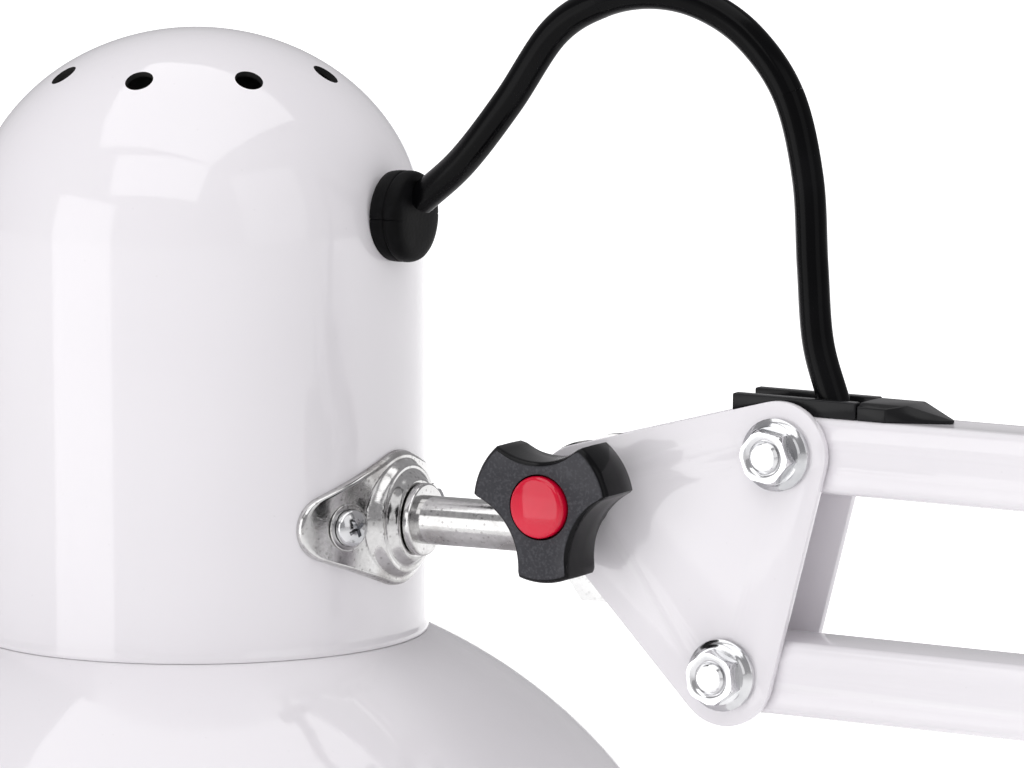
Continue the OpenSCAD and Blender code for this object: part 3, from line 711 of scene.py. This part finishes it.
# %% Base cover, socket and gland
top = [(11.2, 20), (30, 19.5)] + [(30 + (88 - 30) * t, 19.5 - 1.5 * t ** 1.6)
                                  for t in np.linspace(0.1, 1, 14)]
rim = [(88 + 7 * math.sin(a), 11 + 7 * math.cos(a)) for a in np.linspace(0.12, math.pi / 2, 16)]
inside = [(93.8, 1)] + [(88 + 5.8 * math.sin(a), 11 + 5.8 * math.cos(a))
                        for a in np.linspace(math.pi / 2, 0, 10)] + [(30, 18), (11.2, 18.6)]
build("enamelled_cover", [lathe(top + rim + [(95, 1.3), (94.6, 1)] + inside, 192, closed=True)],
      enamel, "base", ("base_cover",))
build("swivel_socket", [lathe(rounded(
    [(6.06, 4), (11, 4), (11, 20.1), (17, 20.1), (17, 21.6), (15.5, 23), (11, 24), (11, 31),
     (10, 32), (6.06, 32)], 0.45, 3), 96, closed=True)], plating, "base", ("base_socket",))
ribs = [(0, 0), (6, 0), (6, 4.4), (5.2, 5.2)]
for k in range(7):
    z, r = 6.2 + 2.4 * k, 5.0 - 0.2 * k
    ribs += [(r, z), (r, z + 1.3), (r - 0.9, z + 1.6), (r - 0.9, z + 2.1)]
ribs += [(3.6, 22.4), (3.4, 23.8), (0, 23.8)]
build("lead_gland", [lathe(rounded(ribs, 0.3, 2), 48)], black_rubber, "base", ("mains_gland",),
      Matrix.Translation((93.2, 0, 10)) @ Matrix.Rotation(math.pi / 2, 4, "Y"))

# %% Swivel hub
softened("swivel_casting", "swivel_hub", enamel, 0.5, 3, 30)

# %% [markdown]
# ## Side plates, tubes and yoke
# The plates are pressed from 1.5 mm sheet, the arms are 12 mm square tube, and the yoke is a bent
# strip. Their outlines come from the frame, and a rolled edge lets the enamel catch a thin line
# of light along each one, as thick paint does.

# %% Plates, tubes and yoke
for part in ("bracket", "elbow", "head"):
    for side in ("front", "back"):
        softened(f"{part}_cheek_{side}", f"{part}_plate_{side}", enamel, 0.38, 3)
for part in ("lower_rear", "lower_front", "upper_top", "upper_bottom"):
    softened(f"{part}_square_tube", f"{part}_tube", enamel, 0.16, 2, 40)
softened("tilting_yoke", "head_yoke", plating, 0.28, 3)
for part in ("lower_rear", "upper"):
    softened(f"{part}_cord_clips", f"{part}_guides", black_plastic, 0.28, 2, 20)

# %% [markdown]
# ## Nuts and bolts
# A flange nut is a six sided prism whose corners are cut back by a cone, which leaves the curved
# edges that every real nut has. On the lathe the radius is the smaller of the hexagon and the
# cone. The bolt's end has a chamfer, and its head at the back is a low dome.

# %% Flange nuts and pivot bolts
def hexagon(r, z, a):
    if z < 2.0 or r < 3.0:
        return r
    flat = 3.9 / math.cos((a + math.pi / 6) % (math.pi / 3) - math.pi / 6)
    return min(flat, r, 4.62 - max(0, z - 4.1) * 0.55)

nut_outline = [(2.5, 0), (5.4, 0), (5.8, 0.2), (5.8, 1.0), (5.62, 1.22), (5.2, 1.4),
               (4.75, 1.75), (4.6, 1.95), (4.6, 2.01), (4.6, 3), (4.6, 4.1), (4.6, 4.4), (4.6, 4.7),
               (4.5, 4.98), (3.2, 5.0), (2.95, 4.9), (2.5, 4.5)]
nut = lathe(nut_outline, 96, hexagon, closed=True)

def bolt(reach):
    back_z = -2 * face_y
    head = [(6.07 * math.sin(a), back_z - 3.6 * math.cos(a)) for a in
            np.linspace(0, math.pi / 2, 14)]
    return lathe([(max(r, 0.0), z) for r, z in head] + [(6.05, back_z), (2.5, back_z), (2.5, -0.3)]
                 + [(2.5, reach - 0.5), (2.1, reach - 0.05), (1.7, reach), (0, reach)], 48)

groups = {"bracket": ("bracket", [lower_front, lower_rear, np.array([0, 53.2])], [], [0, 72]),
          "elbow": ("elbow", [elbow_rear, elbow_low, elbow_top], [elbow_front],
                    elbow_low + [4, 23]),
          "head": ("head_plates", [head_top, head_low], [knob_at], None)}
for part, (body, nutted, clamped, hook) in groups.items():
    for i, pivot in enumerate(nutted):
        spin = Matrix.Rotation(0.35 + 0.8 * i, 4, "Z")
        build(f"{part}_nut_{i + 1}", [nut], bright_zinc, body,
              (f"{part}_nuts",) if i == 0 else (), facing_front(pivot, -face_y) @ spin, crisp=28)
    bolts = [(p, 5.2) for p in nutted] + [(p, 11) for p in clamped]
    for i, (pivot, reach) in enumerate(bolts):
        build(f"{part}_bolt_{i + 1}", [bolt(reach)], bright_zinc, body,
              (f"{part}_bolts",) if i == 0 else (), facing_front(pivot, -face_y))
    if hook is not None:
        peg = lathe(rounded([(0, -8.5), (2, -8.5), (2, 8.5), (0, 8.5)], 0.5), 32)
        build(f"{part}_spring_peg", [peg], bright_zinc, body, place=facing_front(hook))

# %% [markdown]
# ## Clamping knobs
# Each knob is a moulded plastic disc with three shallow scallops for the fingers, on a short
# collar. Its outline is the smaller of a circle and three scallop arcs, and a soft minimum rounds
# the tips where they meet. The outline shrinks a little at the front and back, which rounds the
# edges. The red cap is a separate dome pressed into the middle.

# %% Knob outline
knob_r, scallop_at, scallop_r, soft_by, count = 12.3, 20.06, 12.86, 0.26, 240
knob_turns = np.linspace(0, 2 * math.pi, count, endpoint=False)

def lobed(a):
    reach = 60.0
    for middle in (90, 210, 330):
        b = a - math.radians(middle)
        if math.cos(b) > 0 and abs(scallop_at * math.sin(b)) < 12.8:
            reach = min(reach, scallop_at * math.cos(b)
                        - math.sqrt(scallop_r ** 2 - (scallop_at * math.sin(b)) ** 2))
    return knob_r - soft_by * math.log(1 + math.exp(min(40, (knob_r - reach) / soft_by)))

knob_outline = np.array([lobed(a) for a in knob_turns])
print("knob reaches from", knob_outline.min().round(2), "to", knob_outline.max().round(2), "mm")

# %% Knobs and caps
levels = [(1.1, 4.4), (0.35, 4.7), (0, 5.4), (-0.05, 9), (0, 13.2), (0.12, 13.7), (0.4, 14.1),
          (0.75, 14.33), (1.0, 14.4), (1.08, 14.4)]
socket = [(5.34, 14.4), (5.3, 14.4), (5.16, 14.22), (5.12, 12.6)]
rings = [(knob_outline - inset, z) for inset, z in levels] + \
        [(np.full(count, r), z) for r, z in socket]
knob_points, knob_faces = [], []
for radii, z in rings:
    knob_points += [(r * math.cos(a), r * math.sin(a), z) for r, a in zip(radii, knob_turns)]
for i in range(len(rings) - 1):
    for k in range(count):
        n = (k + 1) % count
        knob_faces.append((i * count + k, i * count + n, (i + 1) * count + n, (i + 1) * count + k))
knob_faces.append(tuple(range(count))[::-1])
collar = lathe(rounded([(0, 0.3), (5.5, 0.3), (5.5, 4.6), (0, 4.6)], 0.4), 64)
dome = [(5.0 - 0.8 * (1 - math.cos(a)), 2.2 + 0.9 * math.sin(a)) for a in
        np.linspace(0, 1.35, 9)]
crest_r, crest_z = dome[-1]
crown_r = 24
dome += [(r, crest_z + (math.sqrt(crown_r ** 2 - r * r) - math.sqrt(crown_r ** 2 - crest_r ** 2)))
         for r in np.linspace(crest_r, 0, 14)[1:]]
cap = lathe([(0, 0.4), (5.0, 0.4), (5.06, 1.2)] + dome, 96)
for part, body, pivot in (("elbow", "elbow_clamp_knob", elbow_front),
                          ("head", "head_clamp_knob", knob_at)):
    knob = build(f"{part}_hand_knob", [(knob_points, knob_faces), collar], knob_plastic, body,
                 (f"{part}_knob",), facing_front(pivot, -face_y)
                 @ Matrix.Rotation(math.radians(2.5), 4, "Z"), crisp=27)
    for polygon in knob.data.polygons:
        polygon.use_smooth = not (polygon.normal.y < -0.999 and polygon.center.y < -0.0219)
    build(f"{part}_knob_dome", [cap], red_plastic, body, (f"{part}_knob_cap",),
          facing_front(pivot, -face_y - 12.2) @ Matrix.Rotation(math.radians(-4), 4, "Y"),
          crisp=50)

# %% [markdown]
# ## Shade
# The neck and the bell are two spinnings joined by a rolled seam. A sheet metal spinner would
# turn each over a former, so each is one outline on the lathe, with the sheet's thickness drawn
# in. The vent and fitting holes are cut through afterwards. Fine rings keep the gloss unbroken.

# %% Neck of the shade
seam, crown, rise = -28.1, 38.2, 34.2
outer = [(38.18, seam), (38.3, seam + 0.4), (38.28, seam + 0.9), (38.06, seam + 1.4),
         (38.0, seam + 2.0)]
outer += [(38.0, z) for z in np.linspace(seam + 4, crown - 1.5, 30)]
outer += [(38 * math.cos(a), crown + rise * math.sin(a)) for a in
          np.linspace(0.0, math.pi / 2 - 0.02, 48)]
inner = [(37 * math.cos(a), crown + (rise - 1) * math.sin(a)) for a in
         np.linspace(math.pi / 2 - 0.02, 0.0, 24)]
inner += [(37.0, z) for z in np.linspace(crown - 4, seam, 12)]
outer.append((0, crown + rise))
inner.insert(0, (0, crown + rise - 1))
neck = build("shade_neck_spinning", [lathe(outer, 256), lathe(inner + outer[:1], 256)], enamel,
             "shade", ("shade_neck",), on_shade(), crisp=50)

def hole(radius, near, far, place):
    return build("hole_cutter", [lathe([(0, near), (radius, near), (radius, far), (0, far)], 48)],
                 None, None, place=place)

vent_ring, vent_r = 23.3, 2.35
cutters = [hole(1.6, 30, 45, out_of_shade(rod_height, s * screw_angle)) for s in (-1, 1)]
cutters += [hole(4.3, 20, 45, out_of_shade(rod_height)),
            hole(6, 20, 45, out_of_shade(grommet_height))]
slope = math.atan(rise / neck_r * vent_ring / math.sqrt(neck_r ** 2 - vent_ring ** 2))
height = crown + rise * math.sqrt(1 - (vent_ring / neck_r) ** 2)
for k in range(8):
    vent = on_shade() @ Matrix.Rotation(math.radians(8.5 + 45 * k), 4, "Z") \
        @ Matrix.Translation((vent_ring, 0, height)) @ Matrix.Rotation(slope, 4, "Y")
    cutters.append(hole(vent_r, -6, 6, vent))
carve(neck, cutters, 45)
while len(neck.data.materials) < 2:
    neck.data.materials.append(neck_inside_painted_shade)
# The faces inside the neck, counted as primer in the print below, take the dark painted shade.
for polygon in neck.data.polygons:
    x, y, z = polygon.center / mm - Vector((neck_x, 0, knob_at[1]))
    lift = max(0.0, z - crown) * neck_r / rise
    polygon.material_index = int(math.hypot(math.hypot(x, y), lift) < neck_r - 0.1)
print("neck has", sum(p.material_index for p in neck.data.polygons), "faces in primer")

# %% Bell of the shade
drop = math.sqrt(bell_r ** 2 - neck_r ** 2)
first, last = math.asin(neck_r / bell_r), math.acos((drop - 67.4) / bell_r)
curve = [(bell_r * math.sin(a), bell_r * math.cos(a) - drop) for a in
         np.linspace(first, last, 72)]
back_curve = [((bell_r - 1) * math.sin(a), (bell_r - 1) * math.cos(a) - drop) for a in
              np.linspace(last, first + 0.02, 40)]
rim_r, rim_z = curve[-1]
bead = [(rim_r + 0.5 * math.cos(a) * 1.5 - 0.2, rim_z - 1.0 + 0.9 * math.sin(a)) for a in
        np.linspace(1.2, -3.6, 14)]
build("shade_bell_spinning", [lathe([(36.9, 6), (36.9, 0.2), (37.2, 0.02)] + curve + bead
      + back_curve + [(35.9, -0.9), (35.9, 6)], 256, closed=True)],
      enamel, "shade", ("shade_bell",), on_shade(seam), crisp=60)

# %% Painted shadow at the seam
# A thin black ring in the black rubber finish stands in for the shadow in the seam: painted shade.
build("seam_shadow_gap", [lathe([(37.2, -0.06), (38.05, -0.02), (38.05, 0.0), (37.2, 0.02)], 192,
      closed=True)], black_rubber, "shade", place=on_shade(seam - 0.12))

# %% [markdown]
# ## Flange where the rod meets the shade
# A stamped plate wraps the neck, held by two screws, with a raised boss for the rod. It is drawn
# flat as rings that grow from the rod's hole out to the plate's outline, with a height for each
# ring, and then wrapped round the neck. The height rises softly at the boss and rolls down at the
# edge, as pressed metal does.

# %% Stamped flange
ear_x, middle_r, taper, rod_hole_r = 17.1, 11.2, 5.7, 4.06

def flange_reach(a):
    c, s = abs(math.cos(a)), abs(math.sin(a))
    best = 0.0
    for r in np.linspace(0.5, 23.5, 900):
        x, y = r * c, r * s
        near = min(max((x - y * (taper / ear_x)) / ear_x, 0), 1)
        if math.hypot(x - ear_x * near, y) <= middle_r - taper * near:
            best = r
    return best

def step(d, a, b):
    t = min(max((d - a) / (b - a), 0), 1)
    return t * t * (3 - 2 * t)

def flange_point(r, a, reach):
    """The plate follows the neck, and the boss in its middle stands flat for the rod."""
    x, y = r * math.cos(a), r * math.sin(a)
    rim = max(0.0, 1 - max(0.0, (r - (reach - 0.9)) / 0.9) ** 2) ** 0.5
    out = neck_r + 0.02 + 1.3 * rim
    boss = neck_r + 2.6 + 1.6 * (1 - step(r, 6.3, 8.3))
    flat = 1 - step(r, 8.7, 9.9)
    wrapped = (out * math.cos(x / neck_r), out * math.sin(x / neck_r))
    return (wrapped[0] + (boss - wrapped[0]) * flat, wrapped[1] + (x - wrapped[1]) * flat,
            y + rod_height)

flange_points, flange_faces, around_steps = [], [], 160
shares = list(np.linspace(0, 0.93, 48)) + [0.95, 0.97, 0.985, 0.995, 1]
for i in range(around_steps):
    a = 2 * math.pi * i / around_steps
    reach = flange_reach(a)
    for s in shares:
        r = rod_hole_r + (reach - rod_hole_r) * s
        flange_points.append(flange_point(r, a, reach))
rings = len(shares)
for i in range(around_steps):
    j = (i + 1) % around_steps
    for k in range(rings - 1):
        flange_faces.append((i * rings + k, j * rings + k, j * rings + k + 1, i * rings + k + 1))
build("stamped_flange", [(flange_points, flange_faces)], plating, "shade", ("flange_plate",),
      on_shade(), crisp=40)

# %% Collar ring and rod
build("rod_ring", [lathe(rounded([(4, 42.4), (6, 42.4), (6, 43.8), (4, 43.8)], 0.35), 64)],
      plating, "shade", ("rod_collar",), out_of_shade(rod_height))
reach = knob_at[0] - 9.7 - neck_x
build("shade_rod", [lathe(rounded([(0, 32), (6.4, 32), (6.4, 34.5), (4, 34.5), (4, reach - 0.4),
      (3.6, reach), (0, reach)], 0.3), 96)], plating, "yoke", ("head_rod",),
      out_of_shade(rod_height))

# %% [markdown]
# ## Cross head screws, grommet and lamp holder
# A cross recess is what the eye looks for on a screw, so it is really cut. The grommet is a soft
# puck with a moulding line round it. Inside the shade are the black holder with grip ribs, the
# brass thread, and the bulb.

# %% Flange screws
screw_head = [(0, 2.35)] + [(r, 2.35 - 0.95 * (r / 3) ** 2.4) for r in np.linspace(0.2, 2.85, 22)] \
    + [(3.0, 1.25), (3.0, 0.15), (2.9, 0), (1.5, 0), (1.5, -5), (0, -5)]
for s, side in ((-1, "left"), (1, "right")):
    place = out_of_shade(rod_height, s * screw_angle) \
        @ Matrix.Translation((0, 0, neck_r + 1.35))
    screw = build(f"flange_screw_{side}", [lathe(screw_head, 120)], bright_zinc, "shade",
                  ("flange_screws",), place, crisp=35)
    blades = []
    for turn in (0, math.pi / 2):
        blade = [(x * 1.55, y * 0.36, z) for z in (3.0, 1.1)
                 for x, y in ((-1, -1), (1, -1), (1, 1), (-1, 1))]
        sides = [(0, 1, 2, 3), (7, 6, 5, 4), (0, 4, 5, 1), (1, 5, 6, 2), (2, 6, 7, 3), (3, 7, 4, 0)]
        blades.append(build("cross_cutter", [(blade, sides)], None, None,
                      place=place @ Matrix.Rotation(0.5 + turn, 4, "Z")))
    carve(screw, blades, 35)
    washer = lathe(rounded([(3.1, 0), (3.9, 0), (3.9, 0.35), (3.1, 0.35)], 0.15), 64)
    build(f"screw_washer_{side}", [washer], plating, "shade", place=place)

# %% Cord grommet
puck = rounded([(0, 33), (5.9, 33), (5.9, 37.2), (7.3, 37.2), (7.5, 38.6), (7.5, 39.7),
                (7.22, 39.9), (7.5, 40.1), (7.5, 41.2), (7.1, 42.2), (6.0, 42.6), (4.4, 42.7),
                (0, 42.7)], 0.45, 3)
part_line = lambda r, z, a: r - (0.22 if r > 5 and min(abs(a - math.pi / 2),
                                 abs(a - 1.5 * math.pi)) < 0.02 else 0)
build("cord_grommet", [lathe(puck, 240, part_line)], black_rubber, "shade", ("shade_grommet",),
      out_of_shade(grommet_height), crisp=60)

# %% Lamp holder, thread, cap and bulb
grip = [(0, 36.8), (8, 36.8), (8, 34.4), (14, 33), (18, 29), (18, 8), (19.5, 6), (19.5, -11),
        (15.2, -11), (15.2, 26), (0, 26)]
grooved = lambda r, z, a: r - (0.35 * (0.5 + 0.5 * math.cos(36 * a)) if r > 17.5 and z > 8 else 0)
holder = build("ribbed_holder", [lathe(rounded(grip, 0.7, 3), 216, grooved)], black_plastic,
               "shade", ("lamp_holder",), on_shade(), crisp=60)
wave = [(14.55 + 0.35 * math.sin(2 * math.pi * z / 3.6), z) for z in np.linspace(-6, 25, 70)]
build("holder_thread", [lathe(wave + [(0, 25.2)], 64)], brass, "shade", ("holder_shell",),
      on_shade())
thread = [(12.7 + 0.4 * math.sin(2 * math.pi * z / 3.6), z) for z in np.linspace(-9, 12, 60)]
build("bulb_screw_cap", [lathe([(0, -10.4), (12, -10.4)] + thread
      + [(10, 13.5), (4.4, 16), (4, 18), (0, 18)], 64)], cap_metal, "shade", ("bulb_cap",),
      on_shade())
globe = [(30 * math.cos(a), -60 + 30 * math.sin(a)) for a in np.linspace(-math.pi / 2, 0.7, 40)]
neck_curve = smooth_line([[*globe[-1], 0], [19.6, -35.6, 0], [16.6, -28, 0], [14.5, -20, 0],
                          [13.4, -13, 0], [12.4, -10.5, 0]], 0.8)[1:]
build("opal_bulb", [lathe(globe + [(p[0], p[1]) for p in neck_curve], 96)], opal_glass, "shade",
      ("bulb_glass",), on_shade())

# %% [markdown]
# ## Tension springs
# Two close wound springs balance the arms. Each is one wire: a hook round the lower pin, the
# coils, and a hook in the arm's ear. The wire's line is drawn in the spring's own direction and
# swept as a cord is. The point where its first coils end is worked out but not used, so the
# spring is built straight and doesn't bend as the arm leans.

# %% Springs
coil_r, spring_wire_r, pitch, coil_steps, bending = 2.9, 0.55, 1.42, 20, 26

def spring(name, node, start, end):
    start, end = np.array(start, float), np.array(end, float)
    length = np.linalg.norm(end - start)
    turns = int((length - 24) / pitch)
    line = [(coil_r * math.cos(a), coil_r * math.sin(a), 0)
            for a in np.linspace(-2.6, 0.35, 16)]
    line += [(5.6, 1.4, 0), (8, 2.0, 0.4), (10.2, 2.5, 1.0)]
    for i in range(turns * coil_steps + 1):
        a = 2 * math.pi * i / coil_steps
        line.append((11.6 + (length - 23.2) * i / (turns * coil_steps),
                     coil_r * math.cos(a + 0.4), coil_r * math.sin(a + 0.4)))
    far = length - 0.1
    line += [(length - 9.6, 2.5, 1.0), (length - 7.2, 1.6, 0.5)]
    line += [(far - 2.4 + 2.3 * math.cos(a), 2.3 * math.sin(a), 0)
             for a in np.linspace(2.3, -2.6, 14)]
    slope = math.atan2(*(end - start)[::-1])
    place = arm_frame(start, -slope) @ Matrix.Rotation(math.pi / 2, 4, "X")
    piece = build(name, [swept(smooth_line(line, 0.45), spring_wire_r, 10)], spring_steel, None,
                  (node,), place, crisp=60, turn_out=False)
    bends_to = start + (end - start) / length * bending
    start[0] * mm
    start[1] * mm
    bends_to[0] * mm
    bends_to[1] * mm
    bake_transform(piece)
    print(name, turns, "turns")

ear_along, ear_out = 122.0, 13
lower_ear = lower_rear + ear_along * np.array([math.sin(lean), math.cos(lean)]) \
    + ear_out * np.array([-math.cos(lean), math.sin(lean)])
upper_ear = elbow_low + ear_along * np.array([-math.cos(fall), math.sin(fall)]) \
    + ear_out * np.array([math.sin(fall), math.cos(fall)])
spring("lower_tension_spring", "lower_spring", (0, 72), lower_ear)
spring("upper_tension_spring", "upper_spring", elbow_low + [4, 23], upper_ear)

# %% [markdown]
# ## Parts that keep their frame shape
# Four simple parts sit inside the base or behind the shade, and their frame solids are already
# right. They only need their finish.

# %% Finish the plain parts
for node, finish in (("base_pad", black_rubber), ("base_weight", base_iron),
                     ("hub_grommet", black_rubber), ("holder_bracket", plating)):
    part = frame["nodes"][node]
    part.data.materials.clear()
    part.data.materials.append(finish)
    print(f"{node}: finished in {finish.name}")

# %% [markdown]
# ## Table and light
# A plain white table runs off into the distance. It glows a little, and more at the back than at
# the front, so that it stays pale all the way. The light is a bright, soft surround with a tall
# window at the left, which makes the upright gloss line on the neck and the broad highlight on
# the crown. Wide soft panels above, overhead and at the right keep shadows light.

# %% Table
floor = Finish("pale_table")
weave = floor.cloud(30, 3)
depth = floor.node("ShaderNodeVectorMath", {"operation": "DOT_PRODUCT"},
                   {0: floor.at(), 1: (0, 1, 0)}, out="Value")
table_finish = floor.feed(Base_Color=floor.mix(weave, (0.93, 0.93, 0.93), (0.95, 0.95, 0.95)),
                          Roughness=0.7 + 0.1 * weave, Emission_Strength=1.0,
                          Emission_Color=floor.mix(depth.rise(1.0, 1.8), (0.35, 0.35, 0.35),
                                                   (1, 1, 1)))
sheet = bpy.data.meshes.new("table")
edge, table_z = 40, -0.0003
sheet.from_pydata([(x * edge, y * edge, table_z) for x, y in ((-1, -1), (1, -1), (1, 1), (-1, 1))],
                  [], [(0, 1, 2, 3)])
sheet.materials.append(table_finish)
table = bpy.data.objects.new("table", sheet)
bpy.context.scene.collection.objects.link(table)
print("table is", 2 * edge, "m wide")

# %% Light
world = bpy.data.worlds.new("studio")
bpy.context.scene.world = world
world.use_nodes = True
world.node_tree.nodes["Background"].inputs["Color"].default_value = (0.975, 0.965, 0.99, 1)
world.node_tree.nodes["Background"].inputs["Strength"].default_value = 0.40

def lamp(name, around, above, away, width, height, brightness):
    """A soft panel at a compass angle and a height angle from the shade, turned towards it."""
    around, above = math.radians(around), math.radians(above)
    out = Vector((math.sin(around) * math.cos(above), -math.cos(around) * math.cos(above),
                  math.sin(above)))
    light = bpy.data.lights.new(name, "AREA")
    light.shape, light.size, light.size_y = "RECTANGLE", width, height
    light.energy = brightness * math.pi * width * height
    holder = bpy.data.objects.new(name, light)
    holder.location = Vector((neck_x * mm, 0, 0.43)) + out * away
    holder.rotation_mode = "QUATERNION"
    holder.rotation_quaternion = (-out).to_track_quat("-Z", "Y")
    holder.visible_camera = False
    bpy.context.scene.collection.objects.link(holder)
    print(f"{name}: {light.energy:.1f} W")

lamp("window", -28, 2, 1.6, 0.95, 1.3, 1.4)
lamp("sky_panel", 8, 42, 1.8, 1.4, 0.75, 1.5)
lamp("overhead", 0, 86, 2.0, 2.2, 2.2, 1.45)
lamp("right_fill", 72, 22, 2.0, 1.2, 1.5, 0.62)
bpy.context.scene.view_settings.view_transform = "Standard"
